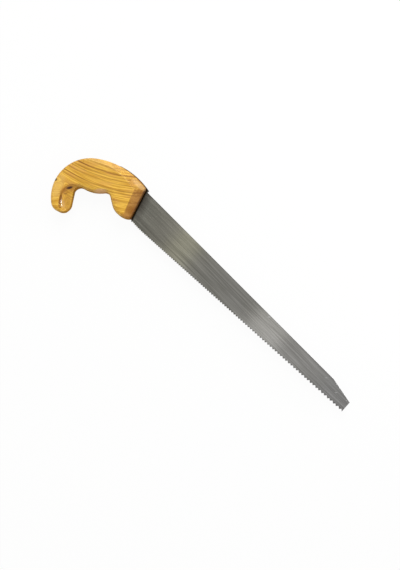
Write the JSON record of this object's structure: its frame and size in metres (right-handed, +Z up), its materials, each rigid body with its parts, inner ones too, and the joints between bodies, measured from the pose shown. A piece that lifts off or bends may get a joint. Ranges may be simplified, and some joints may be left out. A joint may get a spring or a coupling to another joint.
{
  "type": "hand saw",
  "caption": "Hand saw with a tapered steel blade, teeth that grow towards a slanted nose, and an open hooked hardwood grip round a finger gap.",
  "frame": {"origin": "on the lower cheek of the handle, at the middle of the grip", "axes": "+X along the blade's back towards the nose, -Y towards the teeth, +Z up out of the saw as it lies flat"},
  "size_m": [0.5051, 0.111, 0.025],
  "materials": {
    "hardwood": "clear lacquer over sanded, strongly figured hardwood",
    "saw_steel": "ground along its length, lightly dulled",
    "screw_steel": "bright turned"
  },
  "bodies": {
    "root": {"blade": "saw_steel", "handle": "hardwood", "screw_front_lower": "screw_steel", "screw_front_upper": "screw_steel", "screw_rear": "screw_steel"}
  },
  "joints": []
}
